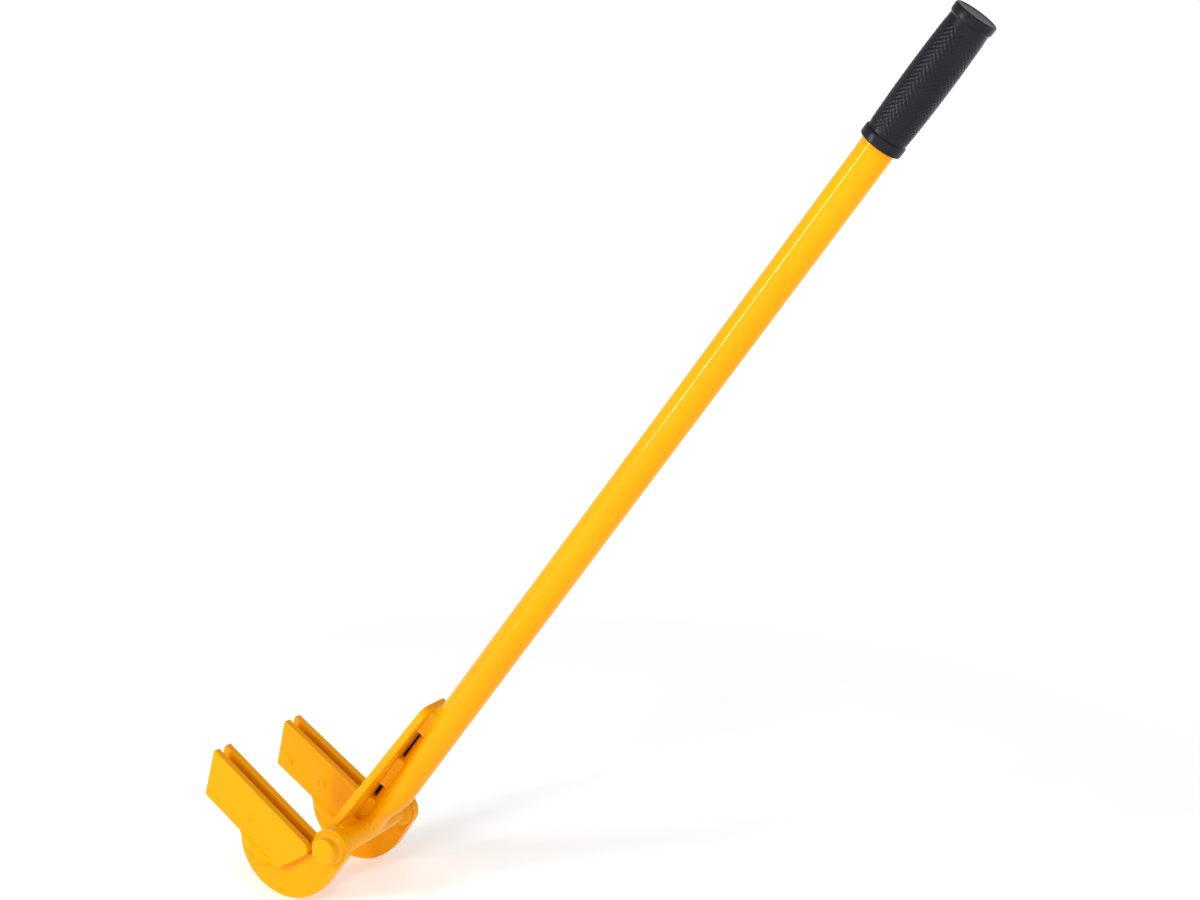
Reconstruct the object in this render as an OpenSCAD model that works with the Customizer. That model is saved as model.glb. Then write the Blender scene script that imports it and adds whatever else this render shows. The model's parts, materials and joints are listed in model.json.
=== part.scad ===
// Two-fork pallet lifting bar: a tube handle welded square onto a short cross bar, with a
// built-up fork on each end of the bar. Millimetres. The origin is the middle of the cross
// bar's axis, between the forks. +Y runs along the bar and +Z is up. The tool is drawn first
// with its handle straight up and its forks along -X, and is then leaned back by `lean`.

/* [Handle] */
// Lean of the handle away from upright, in degrees
lean = 37.15; // [25:0.05:45]
// Outside diameter of the handle tube
tube_d = 31.8; // [28:0.1:34]
// Wall thickness of the handle tube
tube_wall = 3; // [2:0.25:4]
// Gap between the tube and the gusset in front of it, bridged by the stitch welds
tube_gap = 1.5; // [0:0.1:3]
// Height above the bar's axis where the tube starts to be pressed flatter
press_top = 58; // [40:1:70]
// Height above the bar's axis where the tube has its full pressed shape
press_end = 18; // [15:1:30]
// Distance along the handle from the bar's axis to the end of the grip
reach = 977; // [700:1:1100]

/* [Grip] */
// Length of the rubber grip
grip_l = 131; // [110:1:150]
// Diameter of the grip at its middle
grip_d = 39; // [36:0.5:44]
// Diameter of the grip next to its end collars
grip_waist_d = 36.5; // [35:0.5:40]
// Diameter of the collar at each end of the grip
collar_d = 39.6; // [38:0.2:46]
// Length of the collar at the grip's mouth
mouth_collar_l = 10; // [5:0.5:14]
// Length of the collar at the grip's closed end
end_collar_l = 8; // [5:0.5:12]
// Thickness of the grip's closed end
grip_end_t = 4; // [2:0.5:6]

/* [Cross bar] */
// Diameter of the solid cross bar
bar_d = 25.4; // [22:0.1:30]
// Length of the cross bar
bar_l = 152.4; // [148:0.1:160]
// How far the bar stands out of the left fork
bar_stand_out = 12; // [6:0.5:14]

/* [Forks] */
// Distance between the middles of the two forks
fork_spread = 122.4; // [110:0.2:130]
// Thickness of the rocker plate in the middle of each fork
rocker_t = 10.3; // [8:0.1:12]
// Thickness of each side plate
side_t = 7.6; // [6:0.1:10]
// Length of a side plate along its top edge
side_top = 141.8; // [120:0.2:160]
// Height of a side plate
side_h = 45; // [35:0.5:55]
// How far each end of a side plate slopes in towards the bottom edge
side_slope = 18.6; // [10:0.2:25]
// Radius of the side plate's corner next to the bar
side_corner_r = 8; // [2:0.5:12]
// Distance from the fork tip to the bar's axis, along the fork
bar_from_tip = 151; // [140:0.5:170]
// Height of the bar's axis above the fork's top edge
bar_above_top = 11.2; // [8:0.2:16]
// Radius of the lobe round the bar
lobe_r = 19; // [17:0.5:24]
// Radius of the rocker heel
heel_r = 56; // [45:0.5:65]
// Depth of the heel's centre below the fork's top edge
heel_depth = 18.8; // [15:0.2:24]
// Depth of the channel between the side plates
channel_depth = 15; // [10:0.5:20]
// How far the rocker plate stops short of the side plates' front edge
front_setback = 8; // [4:0.5:14]
// Radial play of the bar in its holes before welding
bar_play = 0.1; // [0.05:0.05:0.3]
// How far the right fork sits turned below the left one about the bar, in degrees
fork_pull = 2; // [0:0.25:3]

/* [Gusset] */
// Thickness of the gusset plate
gusset_t = 7.6; // [5:0.1:9]
// Height of the gusset's top edge above the bar's axis
gusset_h = 158.5; // [120:0.5:190]
// Depth of the gusset's foot below the bar's axis
gusset_foot = 5; // [0:0.5:8]
// Half width of the gusset at the bar's axis
gusset_half_foot = 46.5; // [35:0.5:50]
// Half width of the gusset at its top edge
gusset_half_top = 22; // [18:0.5:30]
// Radius of the gusset's top corners
gusset_corner_r = 10; // [4:0.5:14]

/* [Welds] */
// Leg of the fillet round the bar on the outer side of each fork
outer_leg = 4.3; // [3:0.1:6]
// Leg of the fillet round the bar on the inner side of each fork
inner_leg = 5; // [3:0.1:6]
// Leg of the fillet along the bottom edge of each side plate
edge_leg = 6; // [3:0.1:7]
// Diameter of the plug welds through the side plates
plug_d = 9; // [7:0.5:12]
// How far a plug weld stands out of its plate
plug_crown = 0.8; // [0.3:0.1:1.5]
// Leg of the fillet round the foot of the handle tube
saddle_leg = 5; // [3:0.1:7]
// Leg of the fillet between the gusset's foot and the bar
foot_leg = 5; // [3:0.1:7]
// Height of the fillet behind the gusset, above the bar's axis
back_fill_h = 13; // [9:0.5:16]

/* [Hidden] */
$fn = 96;

paint = [0.93, 0.68, 0.07];
rubber = [0.10, 0.10, 0.12];

bar_r = bar_d / 2;
tube_r = tube_d / 2;
// The gusset lies on the bar's front, and the tube stands a little behind it
gusset_face = bar_r;
tube_back = tube_r - gusset_face + tube_gap;
grip_start = reach - grip_l;
tube_end = reach - grip_end_t;
bar_left = -(fork_spread + rocker_t) / 2 - bar_stand_out;

// Fork outlines use x along the fork from the bar's axis, forks towards -X, and y upward
tip_x = -bar_from_tip;
top_y = -bar_above_top;
bottom_y = top_y - side_h;
side_back_x = tip_x + side_top;
heel_x = lobe_r - heel_r;
heel_y = top_y - heel_depth;
floor_y = top_y - channel_depth;
// The heel's disc runs this far up into the body of the plate
heel_overlap = 2;
slope_per_mm = side_slope / side_h;

side_outline = [
    [tip_x, top_y],
    [tip_x + side_slope, bottom_y],
    [side_back_x - side_slope, bottom_y],
    [side_back_x, top_y]
];
side_radii = [1.5, 1.5, 4, side_corner_r];

// The channel's floor ramps up to its inner end, which stands under a small nose on the lobe
nose_x = -17.8;
nose_y = top_y - 1;
nose_r = 1.5;
channel_end_x = -12;
channel_end_h = 5;
ramp_l = 10;
ramp_h = 4.6;
rocker_outline = [
    [tip_x + side_slope + front_setback, bottom_y],
    [tip_x + channel_depth * slope_per_mm + front_setback, floor_y],
    [channel_end_x - ramp_l, floor_y],
    [channel_end_x, floor_y + ramp_h],
    [channel_end_x, floor_y + ramp_h + channel_end_h],
    [nose_x, nose_y],
    [nose_x, 0],
    [lobe_r, 0],
    [lobe_r, heel_y],
    [heel_x, heel_y],
    [heel_x, bottom_y]
];
rocker_radii = [0, 2, 0, 0, 0, nose_r, 0, 0, 0, 0, 0];

// Places of the plug welds in a side plate: distance from the tip and depth from the top
plug_places = [[29, 27], [70, 26]];

// Stitch welds: where each starts above the bar's axis, and its length
top_stitch = [gusset_h - 32, 29];
middle_stitch = [54, 40];
lower_stitch = [14, 25];

function unit(v) = v / norm(v);
function half_angle(a, b, c) = acos(unit(a - b) * unit(c - b)) / 2;
function along(b, towards, a, c, r) = b + unit(towards - b) * r / tan(half_angle(a, b, c));
function arc_centre(a, b, c, r) =
    b + unit(unit(a - b) + unit(c - b)) * r / sin(half_angle(a, b, c));
function corner(p, i, r) =
    let (a = p[(i + len(p) - 1) % len(p)], b = p[i], c = p[(i + 1) % len(p)])
    r == 0 ? [b] : [along(b, a, a, c, r), arc_centre(a, b, c, r), along(b, c, a, c, r)];

// A flat outline with a true arc at each corner that has a radius
module rounded_outline(points, radii) {
    polygon([for (i = [0:len(points) - 1]) each corner(points, i, radii[i])]);
    for (i = [0:len(points) - 1])
        if (radii[i] > 0)
            translate(corner(points, i, radii[i])[1])
                circle(r = radii[i]);
}

// Stands a flat outline up in the plane across the bar, from y0 to y1
module across(y0, y1)
    translate([0, y1, 0])
        rotate([90, 0, 0])
            linear_extrude(y1 - y0)
                children();

// A round rod along the bar's direction
module along_bar(r, y0, y1)
    translate([0, y1, 0])
        rotate([90, 0, 0])
            cylinder(r = r, h = y1 - y0);

module leaned()
    rotate([0, lean, 0])
        children();

module left_fork()
    leaned()
        translate([0, -fork_spread / 2, 0])
            children();

module right_fork()
    leaned()
        rotate([0, -fork_pull, 0])
            mirror([0, 1, 0])
                translate([0, -fork_spread / 2, 0])
                    children();

// Inside a fork its outer side is -Y: this swaps the sides
module inner_side()
    mirror([0, 1, 0])
        children();

// ---- Handle ----

// Rod as long as the tube, with its back pressed flat near the foot, down to `back_x`
module pressed_rod(r, length, back_x)
    difference() {
        translate([tube_back, 0, 0])
            cylinder(r = r, h = length);
        across(-tube_d, tube_d)
            polygon([
                [back_x, -1],
                [back_x, press_end],
                [tube_back + r, press_top],
                [tube_back + tube_d, press_top],
                [tube_back + tube_d, -1]
            ]);
    }

module handle_tube()
    color(paint)
        leaned()
            difference() {
                pressed_rod(tube_r, tube_end, bar_r);
                pressed_rod(tube_r - tube_wall, tube_end + 1, bar_r - tube_wall);
                along_bar(bar_r, -tube_d, tube_d);
            }

// Half section of the grip: bore, closed end, collars and a slightly swollen body
module grip_section() {
    waist_r = grip_waist_d / 2;
    collar_r = collar_d / 2;
    rim = 1.5;
    body_l = grip_l - mouth_collar_l - end_collar_l;
    polygon([
        [tube_r, 0],
        [collar_r - rim, 0],
        [collar_r, rim],
        [collar_r, mouth_collar_l - rim],
        [waist_r, mouth_collar_l],
        for (i = [1:7])
            let (t = i / 8)
            [waist_r + (grip_d / 2 - waist_r) * sin(180 * t), mouth_collar_l + body_l * t],
        [waist_r, grip_l - end_collar_l],
        [collar_r, grip_l - end_collar_l + rim],
        [collar_r, grip_l - rim],
        [collar_r - rim, grip_l],
        [0, grip_l],
        [0, grip_l - grip_end_t],
        [tube_r, grip_l - grip_end_t]
    ]);
}

module grip()
    color(rubber)
        leaned()
            translate([tube_back, 0, grip_start])
                rotate_extrude()
                    grip_section();

// ---- Cross bar and gusset ----

module cross_bar()
    color(paint)
        leaned()
            along_bar(bar_r, bar_left, bar_left + bar_l);

function gusset_half(h) = gusset_half_foot - (gusset_half_foot - gusset_half_top) * h / gusset_h;

module gusset_plate()
    color(paint)
        leaned()
            translate([-gusset_face, 0, 0])
                rotate([0, -90, 0])
                    linear_extrude(gusset_t)
                        rounded_outline([
                            [-gusset_foot, -gusset_half(-gusset_foot)],
                            [gusset_h, -gusset_half_top],
                            [gusset_h, gusset_half_top],
                            [-gusset_foot, gusset_half(-gusset_foot)]
                        ], [2, gusset_corner_r, gusset_corner_r, 2]);

// ---- Forks ----

module heel_disc()
    intersection() {
        translate([heel_x, heel_y])
            circle(r = heel_r);
        translate([heel_x - heel_r, heel_y - heel_r])
            square([2 * heel_r, heel_r + heel_overlap]);
    }

module rocker_plate()
    color(paint)
        difference() {
            union() {
                across(-rocker_t / 2, rocker_t / 2)
                    rounded_outline(rocker_outline, rocker_radii);
                across(-rocker_t / 2, rocker_t / 2)
                    circle(r = lobe_r);
                across(-rocker_t / 2, rocker_t / 2)
                    heel_disc();
            }
            along_bar(bar_r + bar_play, -rocker_t, rocker_t);
        }

module at_plugs()
    for (place = plug_places)
        translate([tip_x + place[0], 0, top_y - place[1]])
            children();

module side_plate()
    color(paint)
        difference() {
            across(-rocker_t / 2 - side_t, -rocker_t / 2)
                rounded_outline(side_outline, side_radii);
            at_plugs()
                along_bar(plug_d / 2, -rocker_t - side_t, 0);
        }

// ---- Welds ----

// Fillet ring round the bar, standing on the rocker plate's outer face
module bar_weld(leg)
    color(paint)
        translate([0, -rocker_t / 2, 0])
            rotate([90, 0, 0])
                rotate_extrude()
                    polygon([[bar_r, 0], [bar_r + leg, 0], [bar_r, leg]]);

// Weld metal filling the holes of a side plate, with a low crown
module plug_welds()
    color(paint)
        at_plugs()
            translate([0, -rocker_t / 2, 0])
                rotate([90, 0, 0]) {
                    cylinder(d = plug_d, h = side_t);
                    translate([0, 0, side_t])
                        cylinder(d1 = plug_d, d2 = plug_d * 0.6, h = plug_crown);
                }

// Fillet under the bottom edge of a side plate, along the rocker's heel
module edge_weld() {
    front_x = heel_x - heel_r + 15;
    back_x = side_back_x - side_slope - 4;
    color(paint)
        translate([front_x, -rocker_t / 2, bottom_y])
            rotate([90, 0, 90])
                linear_extrude(back_x - front_x)
                    polygon([[0, 0], [-edge_leg, 0], [0, -edge_leg]]);
}

// One bead in each of the two grooves between the tube and the gusset
module stitch_welds(place) {
    root_y = tube_r * 0.3;
    toe_y = tube_r * 0.8;
    crown_x = tube_back - tube_r * 0.5;
    crown_y = tube_r * 0.84;
    color(paint)
        leaned()
            translate([0, 0, place[0]])
                linear_extrude(place[1])
                    for (side = [-1, 1])
                        difference() {
                            polygon([
                                [-gusset_face, side * root_y],
                                [-gusset_face, side * toe_y],
                                [crown_x, side * crown_y],
                                [tube_back - tube_r * 0.7, side * root_y]
                            ]);
                            translate([tube_back, 0])
                                circle(r = tube_r);
                        }
}

// Fillet round the coped foot of the handle tube, sitting on the bar behind the gusset
module handle_saddle_weld()
    color(paint)
        leaned()
            difference() {
                translate([tube_back, 0, 0]) {
                    cylinder(r = tube_r + saddle_leg, h = bar_r);
                    translate([0, 0, bar_r])
                        cylinder(r1 = tube_r + saddle_leg, r2 = tube_r, h = saddle_leg);
                }
                translate([tube_back, 0, -1])
                    cylinder(r = tube_r, h = tube_d);
                along_bar(bar_r, -tube_d, tube_d);
                translate([-tube_d, -tube_d, -1])
                    cube([tube_d - gusset_face + 0.01, 2 * tube_d, tube_d]);
                translate([bar_r, -tube_d, -1])
                    cube([tube_d, 2 * tube_d, tube_d]);
            }

// Fillets under the gusset's foot, on the lower front of the bar, one on each side
module gusset_foot_weld() {
    inner_y = 4;
    outer_y = 42;
    color(paint)
        leaned()
            for (side = [-1, 1])
                difference() {
                    across(min(side * inner_y, side * outer_y), max(side * inner_y, side * outer_y))
                        polygon([
                            [-gusset_face, -gusset_foot],
                            [-gusset_face - foot_leg, -gusset_foot],
                            [-gusset_face + 1, -gusset_foot - foot_leg],
                            [-bar_r * 0.6, -gusset_foot]
                        ]);
                    along_bar(bar_r, -bar_l, bar_l);
                }
}

// Fillets filling the groove between the gusset's back and the top of the bar
module gusset_back_weld() {
    inner_y = 22;
    outer_y = 44;
    color(paint)
        leaned()
            for (side = [-1, 1])
                difference() {
                    across(min(side * inner_y, side * outer_y), max(side * inner_y, side * outer_y))
                        polygon([
                            [-gusset_face, 2],
                            [-gusset_face, back_fill_h],
                            [-gusset_face + 2.5, back_fill_h - 2],
                            [-bar_r * 0.4, bar_r * 0.87],
                            [-bar_r * 0.65, 2]
                        ]);
                    along_bar(bar_r, -bar_l, bar_l);
                }
}

handle_tube();
grip();
cross_bar();
gusset_plate();
left_fork() rocker_plate();  // left_rocker_plate
left_fork() side_plate();  // left_outer_side_plate
left_fork() inner_side() side_plate();  // left_inner_side_plate
right_fork() rocker_plate();  // right_rocker_plate
right_fork() side_plate();  // right_outer_side_plate
right_fork() inner_side() side_plate();  // right_inner_side_plate
handle_saddle_weld();
stitch_welds(top_stitch);  // gusset_top_stitch_welds
stitch_welds(middle_stitch);  // gusset_middle_stitch_welds
stitch_welds(lower_stitch);  // gusset_lower_stitch_welds
gusset_foot_weld();
gusset_back_weld();
left_fork() bar_weld(outer_leg);  // left_outer_bar_weld
left_fork() inner_side() bar_weld(inner_leg);  // left_inner_bar_weld
right_fork() bar_weld(outer_leg);  // right_outer_bar_weld
right_fork() inner_side() bar_weld(inner_leg);  // right_inner_bar_weld
left_fork() plug_welds();  // left_outer_plug_welds
left_fork() inner_side() plug_welds();  // left_inner_plug_welds
right_fork() plug_welds();  // right_outer_plug_welds
right_fork() inner_side() plug_welds();  // right_inner_plug_welds
left_fork() edge_weld();  // left_outer_edge_weld
left_fork() inner_side() edge_weld();  // left_inner_edge_weld
right_fork() edge_weld();  // right_outer_edge_weld
right_fork() inner_side() edge_weld();  // right_inner_edge_weld
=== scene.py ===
"""Looks for the two-fork pallet lifting bar: a painted steel weldment with a rubber grip.

Two frames are used besides the row's own. The tool frame has the handle straight up along +Z and
the forks along -X. Each fork's frame is the tool frame turned by that fork's own lean. Both have
the bar's axis along Y.
"""

import json
import math

import bmesh
import bpy
import numpy as np
from mathutils import Matrix, Vector, noise


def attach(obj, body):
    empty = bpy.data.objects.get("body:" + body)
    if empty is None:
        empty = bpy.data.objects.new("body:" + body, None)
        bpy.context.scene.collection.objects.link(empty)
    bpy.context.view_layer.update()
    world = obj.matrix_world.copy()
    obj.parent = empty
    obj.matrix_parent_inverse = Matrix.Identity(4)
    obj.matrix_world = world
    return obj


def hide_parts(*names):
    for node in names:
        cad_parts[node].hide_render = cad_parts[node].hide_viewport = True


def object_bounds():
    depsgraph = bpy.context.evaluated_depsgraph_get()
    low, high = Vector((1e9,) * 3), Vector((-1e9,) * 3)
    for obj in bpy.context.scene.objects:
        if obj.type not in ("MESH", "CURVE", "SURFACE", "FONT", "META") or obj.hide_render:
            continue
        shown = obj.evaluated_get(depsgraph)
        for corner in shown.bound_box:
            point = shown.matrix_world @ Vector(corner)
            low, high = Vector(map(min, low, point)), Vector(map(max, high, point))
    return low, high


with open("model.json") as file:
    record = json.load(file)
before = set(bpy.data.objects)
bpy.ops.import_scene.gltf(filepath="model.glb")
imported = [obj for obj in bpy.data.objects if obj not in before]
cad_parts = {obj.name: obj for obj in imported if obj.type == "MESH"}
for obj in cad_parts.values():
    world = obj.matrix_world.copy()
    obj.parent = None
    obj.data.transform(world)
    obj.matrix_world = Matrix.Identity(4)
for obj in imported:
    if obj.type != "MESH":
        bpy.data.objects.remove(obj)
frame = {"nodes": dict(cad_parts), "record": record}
cad_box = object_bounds()

MM = 0.001
NODES = frame["nodes"]
MOUNTS = {m["name"]: m for m in frame["record"]["mounts"]}


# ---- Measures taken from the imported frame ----

def lean_of(mount):
    """Angle that a fork's top edge leans, from its mount's normal."""
    x, _, z = MOUNTS[mount]["axis"]
    return math.atan2(x, z)


LEAN = lean_of("left_fork_top")
TOOL = Matrix.Rotation(LEAN, 4, "Y")
FORKS = {"left": TOOL, "right": Matrix.Rotation(lean_of("right_fork_top"), 4, "Y")}
# The side of the tool that each fork is on
OUTWARD = {"left": -1, "right": 1}


def extents(node, place=TOOL):
    """Lowest and highest corner of a CAD node in the frame `place`."""
    back = place.inverted()
    co = np.array([back @ v.co for v in NODES[node].data.vertices])
    return Vector(co.min(0)), Vector(co.max(0))


# Sizes in the tool frame
BAR_LO, BAR_HI = extents("cross_bar")
BAR_R = (BAR_HI.z - BAR_LO.z) / 2
TUBE_LO, TUBE_HI = extents("handle_tube")
TUBE_R = (TUBE_HI.y - TUBE_LO.y) / 2
TUBE_X = TUBE_LO.x + TUBE_R
GRIP_LO, GRIP_HI = extents("grip")
GUSSET_LO, GUSSET_HI = extents("gusset_plate")
GUSSET_BACK = GUSSET_HI.x
# Below PRESS_TOP the tube's back is pressed in, and at PRESS_END it is flush with the bar's back
PRESS_TOP = 58 * MM
PRESS_END = 18 * MM


# ---- Materials ----

def new_material(name):
    mat = bpy.data.materials.new(name)
    mat.use_nodes = True
    return mat, mat.node_tree, mat.node_tree.nodes["Principled BSDF"]


def add(tree, kind, inputs=None, **settings):
    """A shader node with its settings and its unlinked inputs filled in."""
    made = tree.nodes.new(kind)
    for key, value in settings.items():
        setattr(made, key, value)
    for key, value in (inputs or {}).items():
        made.inputs[key].default_value = value
    return made


def noise_of(tree, place, scale, detail):
    made = add(tree, "ShaderNodeTexNoise", {"Scale": scale, "Detail": detail})
    tree.links.new(place, made.inputs["Vector"])
    return made.outputs["Fac"]


def ramp(tree, source, stops):
    made = tree.nodes.new("ShaderNodeValToRGB")
    elements = made.color_ramp.elements
    for element, (at, colour) in zip(elements, stops):
        element.position = at
        element.color = (*colour, 1)
    tree.links.new(source, made.inputs["Fac"])
    return made.outputs["Color"]


def spread(tree, source, low, high):
    """Maps 0..1 onto low..high."""
    made = add(tree, "ShaderNodeMapRange", {"To Min": low, "To Max": high})
    tree.links.new(source, made.inputs["Value"])
    return made.outputs["Result"]


def bump(tree, height, strength, distance, under=None):
    made = add(tree, "ShaderNodeBump", {"Strength": strength, "Distance": distance})
    tree.links.new(height, made.inputs["Height"])
    if under:
        tree.links.new(under, made.inputs["Normal"])
    return made.outputs["Normal"]


YELLOW = (0.90, 0.410, 0.001)
YELLOW_THIN = (0.88, 0.385, 0.001)
# Features to a metre in the enamel: patches of thin paint, slow waves and orange peel
PATCH_SCALE = 9
WAVE_SCALE = 75
PEEL_SCALE = 520


def enamel(name, waviness, gloss=0.20):
    """Thick glossy yellow enamel, with slight orange peel and slow waves of thickness."""
    mat, tree, shader = new_material(name)
    place = tree.nodes.new("ShaderNodeNewGeometry").outputs["Position"]
    patches = noise_of(tree, place, PATCH_SCALE, 3)
    colour = ramp(tree, patches, [(0.35, YELLOW_THIN), (0.65, YELLOW)])
    tree.links.new(colour, shader.inputs["Base Color"])
    tree.links.new(spread(tree, patches, 0.09, 0.15), shader.inputs["Roughness"])
    waves = bump(tree, noise_of(tree, place, WAVE_SCALE, 2), waviness, 0.6 * MM)
    peel = bump(tree, noise_of(tree, place, PEEL_SCALE, 2), 0.22, 0.1 * MM, waves)
    tree.links.new(peel, shader.inputs["Normal"])
    shader.inputs["IOR"].default_value = 1.5
    shader.inputs["Specular IOR Level"].default_value = gloss
    return mat


def bare_steel_and_shade(name):
    """Bare hot-rolled steel, nearly black; used also as painted shade deep in the gusset's gap."""
    mat, tree, shader = new_material(name)
    place = tree.nodes.new("ShaderNodeNewGeometry").outputs["Position"]
    colour = ramp(tree, noise_of(tree, place, 300, 3),
                  [(0.3, (0.010, 0.004, 0.002)), (0.7, (0.022, 0.008, 0.003))])
    tree.links.new(colour, shader.inputs["Base Color"])
    shader.inputs["Roughness"].default_value = 0.85
    shader.inputs["Specular IOR Level"].default_value = 0.02
    return mat


def rubber(name):
    """Moulded black rubber with a faint violet cast and a fine grain."""
    mat, tree, shader = new_material(name)
    place = tree.nodes.new("ShaderNodeNewGeometry").outputs["Position"]
    dust = noise_of(tree, place, 60, 4)
    colour = ramp(tree, dust, [(0.3, (0.007, 0.007, 0.012)), (0.7, (0.012, 0.011, 0.018))])
    tree.links.new(colour, shader.inputs["Base Color"])
    tree.links.new(spread(tree, dust, 0.28, 0.42), shader.inputs["Roughness"])
    grain = bump(tree, noise_of(tree, place, 1500, 2), 0.3, 0.1 * MM)
    tree.links.new(grain, shader.inputs["Normal"])
    shader.inputs["Specular IOR Level"].default_value = 0.30
    return mat


PLATE_PAINT = enamel("plate_enamel", 0.10)
TUBE_PAINT = enamel("tube_enamel", 0.05)
WELD_PAINT = enamel("weld_enamel", 0.45)
# The ring beads glint most, and the ground fills under the side plates least
BEAD_PAINT = enamel("bead_enamel", 0.45, gloss=0.40)
FILL_PAINT = enamel("fill_enamel", 0.08, gloss=0.03)
RUBBER = rubber("grip_rubber")
# Near black: bare steel, and painted shade for the deep gap between the tube and the gusset
BARE_STEEL_AND_SHADE = bare_steel_and_shade("bare_steel_and_painted_shade")


# ---- Mesh helpers ----

def new_piece(name, bm, material, slot, *replaced):
    """Finishes a bmesh as a piece on the root body that stands for CAD nodes."""
    bmesh.ops.recalc_face_normals(bm, faces=bm.faces)
    mesh = bpy.data.meshes.new(name)
    bm.to_mesh(mesh)
    bm.free()
    mesh.shade_smooth()
    mesh.materials.append(material)
    piece = bpy.data.objects.new(name, mesh)
    bpy.context.scene.collection.objects.link(piece)
    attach(piece, "root")
    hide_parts(*replaced)
    return piece


def skin(bm, rings, closed_path=False):
    """Faces over closed rings of points, with flat ends unless the path closes on itself."""
    made = [[bm.verts.new(p) for p in ring] for ring in rings]
    count = len(rings[0])
    steps = len(made) if closed_path else len(made) - 1
    for i in range(steps):
        a, b = made[i], made[(i + 1) % len(made)]
        for j in range(count):
            k = (j + 1) % count
            bm.faces.new((a[j], a[k], b[k], b[j]))
    if not closed_path:
        bm.faces.new(made[0])
        bm.faces.new(made[-1])
    return bm


def circle(steps):
    return [2 * math.pi * i / steps for i in range(steps)]


def ease(t):
    t = min(1, max(0, t))
    return t * t * (3 - 2 * t)


def lerp(a, b, t):
    return a + (b - a) * t


def ripple(along, seed, pitch):
    """Crescents of a hand-laid bead, about -1 to 1, with a slow wander on top."""
    crescent = abs(math.sin(math.pi * along / pitch)) * 1.6 - 1
    wander = noise.noise(Vector((along / (3.2 * pitch), seed, 0.5)))
    return 0.6 * crescent + 0.9 * wander


# ---- Plates, bar and tube ----

EDGE_R = 1.1 * MM
# Edges that turn by more than this are rounded over
SHARP = math.radians(28)


def softened(node, material):
    """A CAD plate with its edges rounded over, as thick enamel leaves them."""
    bm = bmesh.new()
    bm.from_mesh(NODES[node].data)
    bmesh.ops.remove_doubles(bm, verts=bm.verts, dist=0.01 * MM)
    bmesh.ops.dissolve_limit(bm, angle_limit=math.radians(0.5), verts=bm.verts, edges=bm.edges)
    edges = [e for e in bm.edges if e.is_manifold and e.calc_face_angle(0) > SHARP]
    bmesh.ops.bevel(bm, geom=edges, offset=EDGE_R, segments=3, profile=0.5,
                    affect="EDGES", clamp_overlap=True)
    piece = new_piece(node + "_painted", bm, material, "painted_steel", node)
    weighted = piece.modifiers.new("weighted_normals", "WEIGHTED_NORMAL")
    weighted.weight = 100
    return piece


def make_plates():
    for side in FORKS:
        for part in ("rocker_plate", "outer_side_plate", "inner_side_plate"):
            softened(f"{side}_{part}", PLATE_PAINT)
    softened("gusset_plate", PLATE_PAINT)
    make_bare_and_shade_strip()


def make_bare_and_shade_strip():
    """Near-black strip deep in the tube-gusset gap: bare steel where paint doesn't reach, and
    painted shade of the deep groove.
    """
    proud = 0.06 * MM
    low, high = 35 * MM, 129 * MM
    steps = 160
    # Half widths and their raggedness, in mm, in the lower and the upper slot
    half_widths = 7.2, 3.3
    raggedness = 0.3, 1.6
    narrows_from, narrows_over = 70 * MM, 20 * MM
    rings = []
    for i in range(steps + 1):
        z = lerp(low, high, i / steps)
        fray = noise.noise(Vector((z * 420, 0.5, 0)))
        up = ease((z - narrows_from) / narrows_over)
        ragged = (lerp(*half_widths, up) + lerp(*raggedness, up) * max(0, fray)) * MM
        outline = [(-proud, -ragged), (proud, -ragged), (proud, ragged), (-proud, ragged)]
        rings.append([TOOL @ Vector((GUSSET_BACK + x, y, z)) for x, y in outline])
    new_piece("gusset_gap_bare_and_shade_strip", skin(bmesh.new(), rings), BARE_STEEL_AND_SHADE, "painted_steel")


def make_bar():
    """The solid cross bar, with a rounded edge at each end."""
    edge = 1.3 * MM
    half = [(BAR_LO.y, 0.5 * BAR_R)]
    for i in reversed(range(7)):
        a = math.radians(15 * i)
        half.append((BAR_LO.y + edge * (1 - math.sin(a)), BAR_R - edge * (1 - math.cos(a))))
    other = [(BAR_LO.y + BAR_HI.y - y, r) for y, r in reversed(half)]
    rings = [[TOOL @ Vector((r * math.cos(a), y, r * math.sin(a))) for a in circle(96)]
             for y, r in half + other]
    new_piece("cross_bar_painted", skin(bmesh.new(), rings), TUBE_PAINT, "painted_steel",
              "cross_bar")


def tube_point(angle, height, sink=0):
    """Point on the tube's surface, whose back is pressed in towards the foot."""
    pressed = 1 - ease((height - PRESS_END) / (PRESS_TOP - PRESS_END))
    reach = TUBE_R - sink
    x = reach * math.cos(angle)
    if x > 0:
        x *= 1 - pressed * (TUBE_X + TUBE_R - BAR_R) / TUBE_R
    return Vector((TUBE_X + x, reach * math.sin(angle), height))


def make_tube():
    """The handle tube, from inside the bar up to inside the grip."""
    heights = [PRESS_TOP * i / 30 for i in range(30)]
    heights += [lerp(PRESS_TOP, TUBE_HI.z, i / 24) for i in range(25)]
    rings = [[TOOL @ tube_point(a, h) for a in circle(96)] for h in heights]
    new_piece("handle_tube_painted", skin(bmesh.new(), rings), TUBE_PAINT, "painted_steel",
              "handle_tube")


# ---- Welds ----

# Faces across a bead's curved side
ARC_STEPS = 8


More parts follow.
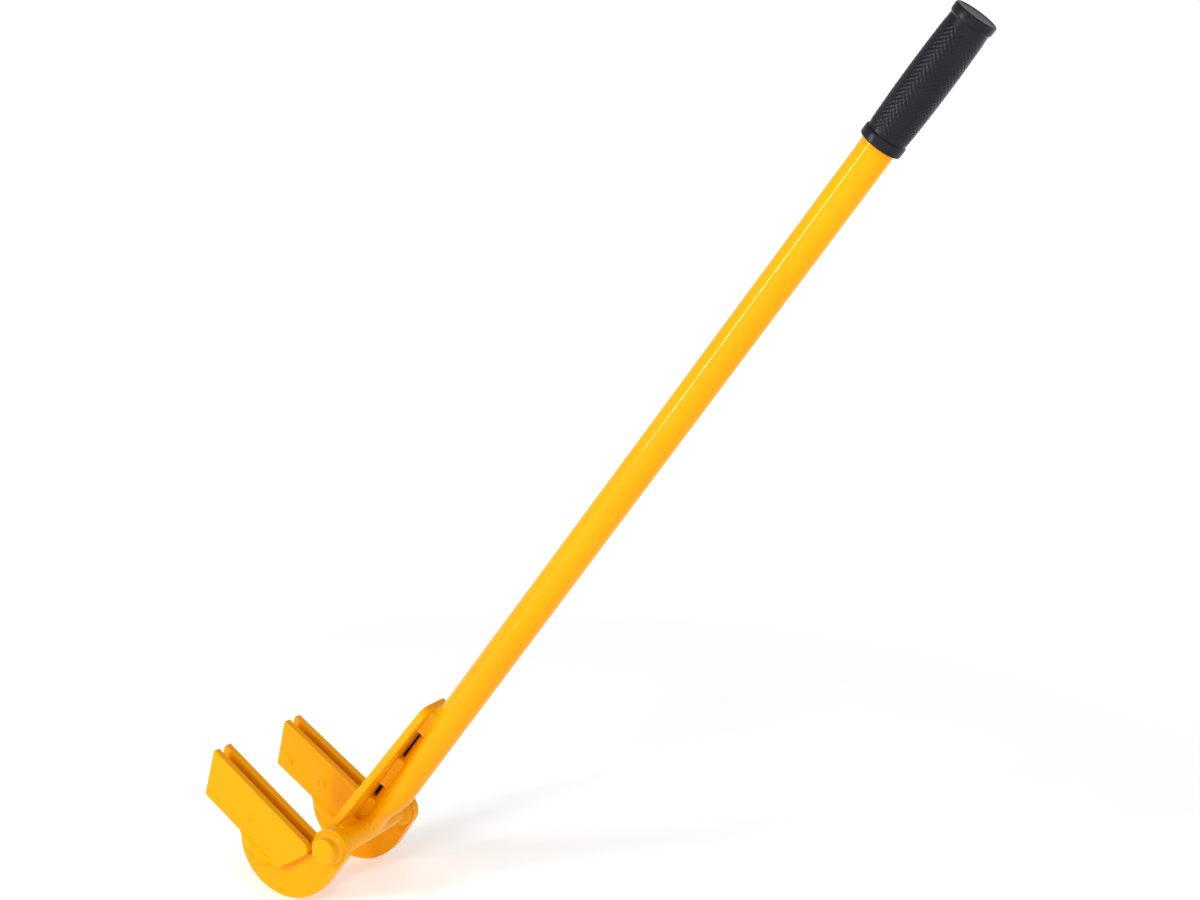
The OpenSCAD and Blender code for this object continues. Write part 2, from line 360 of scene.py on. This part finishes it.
def ring_weld(side, part, seed):
    """Fillet bead round the bar, between a fork's face and the bar."""
    node = f"{side}_{part}_bar_weld"
    place = FORKS[side]
    out = OUTWARD[side] if part == "outer" else -OUTWARD[side]
    lo, hi = extents(node, place)
    leg = hi.y - lo.y
    face = lo.y if out > 0 else hi.y
    crescents = 24
    pitch = 2 * math.pi * BAR_R / crescents
    # Part of the way from a flat fillet, at 0, to a round bead, at 1
    roundness = 0.35
    rings = []
    for turn in circle(9 * crescents):
        ring = []
        for j in range(ARC_STEPS + 1):
            a = math.pi / 2 * j / ARC_STEPS
            reach = lerp(1 - j / ARC_STEPS, math.cos(a), roundness)
            rise = lerp(j / ARC_STEPS, math.sin(a), roundness)
            along = turn * BAR_R + 0.5 * leg * math.sin(2 * a)
            grow = 1 + 0.09 * math.sin(2 * a) * ripple(along, seed, pitch)
            ring.append((BAR_R - 0.2 * MM + leg * reach * grow, face + out * leg * rise * grow))
        ring.append((BAR_R - 1.2 * MM, face + out * leg * 0.9))
        ring.append((BAR_R - 1.2 * MM, face - out * 0.8 * MM))
        ring.append((BAR_R + leg * 0.9, face - out * 0.8 * MM))
        rings.append([place @ Vector((r * math.cos(turn), y, r * math.sin(turn)))
                      for r, y in ring])
    new_piece(node + "_bead", skin(bmesh.new(), rings, closed_path=True), BEAD_PAINT,
              "painted_weld", node)


def saddle_station(angle, leg, seed):
    """Cross-section of the fillet at the tube's foot, at an angle round the tube."""
    def meet(a):
        p = tube_point(a, 0)
        p.z = math.sqrt(max(0, BAR_R ** 2 - p.x ** 2))
        return p

    p = meet(angle)
    run = (meet(angle + 0.01) - meet(angle - 0.01)).normalized()
    flat = tube_point(angle + 0.01, 0) - tube_point(angle - 0.01, 0)
    from_tube = Vector((flat.y, -flat.x, 0)).normalized()
    from_bar = Vector((p.x, 0, p.z)).normalized()
    up = from_tube.cross(run)
    up *= 1 if up.z > 0 else -1
    away = from_bar.cross(run)
    away *= 1 if away.dot(from_tube - 0.5 * up) > 0 else -1
    grow = 1 + 0.12 * ripple(angle * TUBE_R, seed, 3.6 * MM)
    top = p + up * leg * grow
    squeeze = 1 if top.x < TUBE_X else (BAR_R - TUBE_X) / TUBE_R
    top = tube_point(math.atan2(top.y, (top.x - TUBE_X) / squeeze), top.z, 0.1 * MM)
    toe = p + away * leg * grow
    shrink = (BAR_R - 0.1 * MM) / math.hypot(toe.x, toe.z)
    toe = Vector((toe.x * shrink, toe.y, toe.z * shrink))
    middle = p + (up + away) * leg * 0.14 * grow
    ring = []
    for j in range(ARC_STEPS + 1):
        t = j / ARC_STEPS
        ring.append(TOOL @ (top * (1 - t) ** 2 + middle * 2 * t * (1 - t) + toe * t ** 2))
    ring.append(TOOL @ (p - (from_tube + from_bar).normalized() * 1.2 * MM))
    return ring


def make_saddle_weld():
    """Smooth fillet round the foot of the tube, dying out where the tube runs flush at the back."""
    rings = []
    reach = math.radians(146)
    steps = 150
    for i in range(steps + 1):
        angle = lerp(-reach, reach, i / steps)
        leg = lerp(1.6, 5.2, ease((abs(angle) - 0.35) / 0.9)) * MM
        rings.append(saddle_station(angle, leg, 2.4))
    new_piece("handle_saddle_weld_bead", skin(bmesh.new(), rings), WELD_PAINT, "painted_weld",
              "handle_saddle_weld")


def stitch_section(height, size, side, seed):
    """Cross-section of a bead in the groove between the gusset's back and the tube."""
    hollow = (1.3 - 0.28 * ripple(height, seed + side, 4.4 * MM)) * MM * size
    on_plate = Vector((GUSSET_BACK - 0.15 * MM, side * TUBE_R * lerp(0.30, 0.98, size), height))
    angle = math.pi - math.asin(lerp(0.30, 0.86, size))
    on_tube = tube_point(side * angle, height, 0.15 * MM)
    outward = Vector((0.45, side, 0)).normalized()
    ring = []
    for j in range(ARC_STEPS + 1):
        t = j / ARC_STEPS
        ring.append(TOOL @ (on_plate.lerp(on_tube, t)
                            - outward * hollow * math.sin(math.pi * t)))
    ring.append(TOOL @ Vector((GUSSET_BACK + 0.1 * MM, side * TUBE_R * 0.2, height)))
    return ring


def cap_section(y, size):
    """Cross-section of the bead across the gusset's top edge, against the tube's front."""
    front = TUBE_X - math.sqrt(TUBE_R ** 2 - y ** 2)
    top = GUSSET_HI.z
    start = Vector((front + 0.2 * MM, y, top + 4.5 * MM * size))
    end = Vector((GUSSET_BACK - 3.8 * MM * size, y, top - 0.15 * MM))
    middle = Vector((front - 0.6 * MM, y, top + 1.0 * MM * size))
    root = Vector((front + 0.4 * MM, y, top - 2.5 * MM))
    ring = [TOOL @ (start * (1 - t) ** 2 + middle * 2 * t * (1 - t) + end * t ** 2)
            for t in (j / ARC_STEPS for j in range(ARC_STEPS + 1))]
    return ring + [TOOL @ root]


# Half the length of the bead across the gusset's top edge
CAP_HALF = 11 * MM


def make_gusset_cap_weld():
    steps = 40
    rings = []
    for i in range(steps + 1):
        y = lerp(-CAP_HALF, CAP_HALF, i / steps)
        end = (CAP_HALF - abs(y)) / (4 * MM)
        size = math.sqrt(max(0.03, 1 - max(0, 1 - end) ** 2))
        rings.append(cap_section(y, size * (1 + 0.10 * ripple(y, 8.2, 4.4 * MM))))
    new_piece("gusset_cap_weld_bead", skin(bmesh.new(), rings), WELD_PAINT, "painted_weld")


# How far each stitch bead runs on past its CAD solid, in mm, at its lower and its upper end
RUN_ONS = {"lower": (7, 0), "middle": (-1.8, 0), "top": (-2, 2.8)}


def make_stitch_welds():
    for n, (place, run_on) in enumerate(RUN_ONS.items()):
        node = f"gusset_{place}_stitch_welds"
        lo, hi = extents(node)
        low = lo.z - run_on[0] * MM
        high = hi.z + run_on[1] * MM
        bm = bmesh.new()
        steps = 60
        for side in (-1, 1):
            rings = []
            for i in range(steps + 1):
                height = lerp(low, high, i / steps)
                end = min(height - low, high - height) / (1.6 * MM)
                size = math.sqrt(max(0.02, 1 - max(0, 1 - end) ** 2))
                rings.append(stitch_section(height, size, side, 3.1 * n))
            skin(bm, rings)
        new_piece(node + "_beads", bm, WELD_PAINT, "painted_weld", node)


def gusset_bar_section(y, size, lower, seed):
    """Cross-section of a fillet between the gusset and the bar, above or below the contact."""
    grow = 1 + 0.10 * ripple(y, seed, 4.2 * MM)
    if lower:
        start = Vector((GUSSET_BACK - 5.5 * MM * size * grow, y, GUSSET_LO.z + 0.2 * MM))
        angle = math.radians(lerp(206, 232, size))
        middle = Vector((GUSSET_BACK - 0.5 * MM, y, GUSSET_LO.z - 2.2 * MM))
        root = Vector((GUSSET_BACK + 2 * MM, y, GUSSET_LO.z + 1 * MM))
    else:
        start = Vector((GUSSET_BACK - 0.1 * MM, y, 13.5 * MM * size * grow))
        angle = math.radians(lerp(160, 117, size))
        middle = Vector((-10.6 * MM, y, 10.2 * MM * size))
        root = Vector((GUSSET_BACK + 0.3 * MM, y, 0.5 * MM))
    reach = BAR_R - 0.12 * MM
    end = Vector((reach * math.cos(angle), y, reach * math.sin(angle)))
    ring = []
    for j in range(ARC_STEPS + 1):
        t = j / ARC_STEPS
        ring.append(TOOL @ (start * (1 - t) ** 2 + middle * 2 * t * (1 - t) + end * t ** 2))
    ring.append(TOOL @ root)
    return ring


def make_gusset_bar_weld(name, lower, inner, outer, *replaced):
    """A pair of fillets along the bar, from `inner` to `outer` on each side of the tube."""
    bm = bmesh.new()
    steps = 60
    for side in (-1, 1):
        rings = []
        for i in range(steps + 1):
            y = lerp(inner, outer, i / steps)
            end = min(y - inner, outer - y) / (4 * MM)
            size = math.sqrt(max(0.05, 1 - max(0, 1 - end) ** 2))
            rings.append(gusset_bar_section(side * y, size, lower, 6.0 + side))
        skin(bm, rings)
    new_piece(name, bm, WELD_PAINT, "painted_weld", *replaced)


# Radius of a rocker plate's heel
HEEL_R = 56 * MM


def edge_weld(side, part, seed):
    """Wide smooth fillet from a side plate's bottom edge down onto the rocker's heel."""
    node = f"{side}_{part}_edge_weld"
    place = FORKS[side]
    out = OUTWARD[side] if part == "outer" else -OUTWARD[side]
    lo, hi = extents(node, place)
    plate_lo, plate_hi = extents(f"{side}_{part}_side_plate", place)
    outer_y = plate_hi.y if out > 0 else plate_lo.y
    inner_y = plate_lo.y if out > 0 else plate_hi.y
    bottom = plate_lo.z
    first, last = lo.x - 5 * MM, hi.x + 2 * MM
    rocker_lo, rocker_hi = extents(f"{side}_rocker_plate", place)
    heel_x, heel_z = rocker_hi.x - HEEL_R, rocker_lo.z + HEEL_R
    steps, rows = 70, 16
    # The fillet starts this far up the plate's face
    lap = 2.5 * MM
    rings = []
    for i in range(steps + 1):
        x = lerp(first, last, i / steps)
        size = math.sqrt(ease((x - first) / (9 * MM))) * ease((last - x) / (16 * MM))
        drop = (1 + 16 * size + 1.2 * noise.noise(Vector((x * 70, seed, 0)))) * MM
        room = bottom - heel_z + math.sqrt(HEEL_R ** 2 - (x - heel_x) ** 2)
        drop = min(drop, max(0.8 * MM, room - 0.9 * MM))
        ring = []
        for j in range(rows + 1):
            t = j / rows
            z = bottom + lerp(lap, -drop, t)
            inward = ease((bottom + 0.1 * MM - z) / drop)
            proud = lerp(-0.12, 0.10, size) * MM
            ring.append(Vector((x, lerp(outer_y + out * proud, inner_y, inward), z)))
        ring[-1].y -= out * 0.05 * MM
        ring.append(Vector((x, inner_y - out * 0.5 * MM, bottom + lap)))
        rings.append([place @ p for p in ring])
    new_piece(node + "_bead", skin(bmesh.new(), rings), FILL_PAINT, "painted_weld", node)


def mound(x, y, radius, rise):
    """A rounded lump, in mm, as a function of the place on the plate."""
    return lambda u, v: rise * math.exp(-1.4 * ((u - x) ** 2 + (v - y) ** 2) / radius ** 2)


def rim(x, y, radius, rise, width=1.1):
    """A raised ring, in mm, as a function of the place on the plate."""
    return lambda u, v: rise * math.exp(-((math.hypot(u - x, v - y) - radius) / width) ** 2)


# What stands on each filled plug hole. Offsets run along the fork and up it from the hole.
FAINT_RING = [rim(0, 0, 4.0, 0.22)]
SMALL_BUMP = [mound(0.5, -1.5, 2.6, 2.1), mound(-1.5, 4.2, 2.8, 0.9)]
TWIN_BUMP = [mound(0.5, -5.0, 3.6, 1.7), mound(-1.6, -3.6, 1.4, 1.4), mound(2.4, -4.2, 1.4, 1.4)]
CRATER = [rim(0.5, 0.5, 4.4, 1.3, 1.4), mound(1.4, -0.5, 1.8, 1.2), mound(-5.0, 3.5, 2.2, 0.8)]
# For each side plate, the plug nearer the tip and then the other one
PLUGS = {
    "left_outer": [FAINT_RING, SMALL_BUMP],
    "left_inner": [CRATER, FAINT_RING],
    "right_outer": [SMALL_BUMP, CRATER],
    "right_inner": [TWIN_BUMP, CRATER],
}


PLUG_HOLE_R = 4.5 * MM
# The weld metal thins out to the plate's face at this radius, in mm
PLUG_REACH = 9.0


def plug_weld(side, part):
    """Weld metal filling two holes of a side plate, ground or left standing a little proud."""
    node = f"{side}_{part}_plug_welds"
    place = FORKS[side]
    out = OUTWARD[side] if part == "outer" else -OUTWARD[side]
    lo, hi = extents(node, place)
    plate_lo, plate_hi = extents(f"{side}_{part}_side_plate", place)
    face = plate_hi.y if out > 0 else plate_lo.y
    centres = [(lo.x + PLUG_HOLE_R, lo.z + PLUG_HOLE_R),
               (hi.x - PLUG_HOLE_R, hi.z - PLUG_HOLE_R)]
    bm = bmesh.new()
    radii = [PLUG_REACH * i / 30 for i in range(30, 0, -1)]
    for (x, z), lumps in zip(centres, PLUGS[f"{side}_{part}"]):
        rings = []
        for r in radii:
            fade = ease((PLUG_REACH - r) / 2)
            ring = []
            for a in circle(48):
                u, v = r * math.cos(a), r * math.sin(a)
                rise = (0.04 + sum(f(u, v) for f in lumps)) * fade - 0.06 * (1 - fade)
                ring.append(place @ Vector((x + u * MM, face + out * rise * MM, z + v * MM)))
            rings.append(ring)
        skin(bm, rings)
    new_piece(node + "_filled", bm, WELD_PAINT, "painted_weld", node)


def make_welds():
    for n, side in enumerate(FORKS):
        for m, part in enumerate(("outer", "inner")):
            ring_weld(side, part, 1.7 + 3 * n + 5 * m)
            edge_weld(side, part, 4.2 + 3 * n + 5 * m)
            plug_weld(side, part)
    make_saddle_weld()
    make_stitch_welds()
    make_gusset_cap_weld()
    make_gusset_bar_weld("gusset_foot_weld_beads", True, 4 * MM, 42 * MM, "gusset_foot_weld")
    make_gusset_bar_weld("gusset_back_weld_beads", False, 13 * MM, 45 * MM, "gusset_back_weld")


# ---- Grip ----

# Pairs of crossing strands round the grip, and the length of a strand's step along it
PAIRS = 23
WEAVE_STEP = 2.28 * MM


def weave(u, v):
    """Height, about 0 to 1, of a basket weave whose strands run along u and along v."""
    def strand(across, along, flip):
        k = round(across)
        crown = math.sqrt(max(0, 1 - (2 * (across - k)) ** 2))
        over = math.cos(math.pi * along) * (-1) ** (k + flip)
        return 0.5 * crown + 0.4 * over
    return 0.1 + max(strand(v, u, 0), strand(u, v, 1))


def grip_profile(length, collar, mouth, cap):
    """Distance along the grip and radius, from the mouth's rim to the middle of the end."""
    lip, neck = 1.7 * MM, 18.25 * MM
    swell = 1.25 * MM
    quarter = [math.radians(a) for a in (0, 22.5, 45, 67.5, 90)]
    body_l = length - mouth - cap

    def body(t):
        return neck + swell * math.sin(math.pi * min(1, max(0, t))) ** 0.8

    points = [(0.4 * MM, TUBE_R - 0.4 * MM)]
    points += [(lip * (1 - math.sin(a)), collar - lip * (1 - math.cos(a)))
               for a in reversed(quarter)]
    points += [(mouth - lip + 0.9 * lip * math.sin(a), collar - 0.6 * lip * (1 - math.cos(a)))
               for a in quarter]
    row_l = 0.33 * MM
    count = int(body_l / row_l)
    flare = 2.2 * MM
    for i in range(count + 1):
        z = body_l * i / count
        rise = ease((z - body_l + flare) / flare)
        points.append((mouth + z, lerp(body(z / body_l), collar - 0.3 * MM, rise * rise)))
    points.append((length - cap + 1.0 * MM, collar))
    points += [(length - lip + lip * math.sin(a), collar - lip * (1 - math.cos(a)))
               for a in quarter]
    points += [(length, collar - lip - 0.5 * MM), (length - 0.35 * MM, collar - lip - 1.0 * MM),
               (length - 0.55 * MM, 0.6 * collar), (length - 0.65 * MM, 0.2 * collar)]
    return points


def make_grip():
    """Rubber sleeve with a collar at each end and a basket weave pressed into its body."""
    length = GRIP_HI.z - GRIP_LO.z
    collar = (GRIP_HI.y - GRIP_LO.y) / 2
    mouth, cap = 10 * MM, 8 * MM
    weave_from, weave_to = mouth + 2.2 * MM, length - cap - 7.5 * MM
    relief = 0.75 * MM
    rings = []
    for z, r in grip_profile(length, collar, mouth, cap):
        fade = ease((z - weave_from) / (1.5 * MM)) * ease((weave_to - z) / (1.5 * MM))
        ring = []
        for turn in circle(PAIRS * 14):
            a = z / WEAVE_STEP
            b = turn / math.pi * PAIRS
            reach = r
            if fade > 0:
                reach += relief * fade * (weave((a + b) / 2, (a - b) / 2) - 0.7)
            ring.append(TOOL @ Vector((TUBE_X + reach * math.cos(turn),
                                       reach * math.sin(turn), GRIP_LO.z + z)))
        rings.append(ring)
    new_piece("grip_woven", skin(bmesh.new(), rings), RUBBER, "grip_rubber", "grip")


# ---- Stage, light and camera ----

# The floor is a lit table, brighter away from the object, so that it meets the white surround
NEAR_GLOW, NEAR = 0.26, 0.9
FAR_GLOW, FAR = 0.85, 2.6


def make_stage():
    reach = 30
    floor_z = cad_box[0].z
    mesh = bpy.data.meshes.new("floor")
    mesh.from_pydata([(-reach, -reach, floor_z), (reach, -reach, floor_z),
                      (reach, reach, floor_z), (-reach, reach, floor_z)], [], [(0, 1, 2, 3)])
    floor = bpy.data.objects.new("floor", mesh)
    bpy.context.scene.collection.objects.link(floor)
    mat, tree, shader = new_material("floor_pale")
    shader.inputs["Base Color"].default_value = (0.93, 0.93, 0.93, 1)
    shader.inputs["Roughness"].default_value = 0.9
    shader.inputs["Specular IOR Level"].default_value = 0.05
    shader.inputs["Emission Color"].default_value = (1, 1, 1, 1)
    away = add(tree, "ShaderNodeVectorMath", operation="LENGTH")
    tree.links.new(tree.nodes.new("ShaderNodeNewGeometry").outputs["Position"], away.inputs[0])
    glow = add(tree, "ShaderNodeMapRange",
               {"From Min": NEAR, "From Max": FAR, "To Min": NEAR_GLOW, "To Max": FAR_GLOW},
               interpolation_type="SMOOTHSTEP")
    tree.links.new(away.outputs["Value"], glow.inputs["Value"])
    tree.links.new(glow.outputs["Result"], shader.inputs["Emission Strength"])
    mesh.materials.append(mat)


def make_world():
    """White at the horizon and dimmer overhead, like a studio with a white surround."""
    world = bpy.data.worlds.new("studio")
    bpy.context.scene.world = world
    world.use_nodes = True
    tree = world.node_tree
    split = tree.nodes.new("ShaderNodeSeparateXYZ")
    tree.links.new(tree.nodes.new("ShaderNodeTexCoord").outputs["Generated"], split.inputs[0])
    colour = ramp(tree, split.outputs["Z"],
                  [(0.08, (0.84, 0.84, 0.84)), (0.50, (0.44, 0.44, 0.44))])
    tree.links.new(colour, tree.nodes["Background"].inputs["Color"])
    tree.nodes["Background"].inputs["Strength"].default_value = 1.0


def area_light(name, place, target, size, power):
    data = bpy.data.lights.new(name, "AREA")
    data.shape = "RECTANGLE"
    data.size, data.size_y = size
    data.energy = power
    light = bpy.data.objects.new(name, data)
    bpy.context.scene.collection.objects.link(light)
    light.location = place
    light.rotation_euler = (Vector(target) - Vector(place)).to_track_quat("-Z", "Y").to_euler()


def make_lights():
    area_light("key_strip", (-1.15, -1.75, 0.95), (0.4, 0, 0.45), (0.12, 1.1), 18)
    area_light("fill", (-0.6, -3.2, 2.4), (0.2, 0, 0.2), (0.8, 0.8), 9)
    area_light("sparkle", (1.3, -1.1, 1.95), (0.1, 0, 0.1), (0.22, 0.22), 7)


def make_camera():
    """A long lens a little above the heels, seen from behind and to the left of the tool."""
    azimuth, elevation = math.radians(26.65), math.radians(9.775)
    data = bpy.data.cameras.new("camera")
    data.sensor_width = 36
    data.lens = 62.76
    camera = bpy.data.objects.new("camera", data)
    bpy.context.scene.collection.objects.link(camera)
    camera.location = (1.0889, -1.6576, 0.7165)
    camera.rotation_euler = (math.pi / 2 - elevation, 0, azimuth)
    bpy.context.scene.camera = camera
    bpy.context.scene.view_settings.view_transform = "Standard"
    bpy.context.scene.view_settings.look = "Medium High Contrast"


make_camera()
make_stage()
make_world()
make_lights()
make_plates()
make_bar()
make_tube()
make_welds()
make_grip()
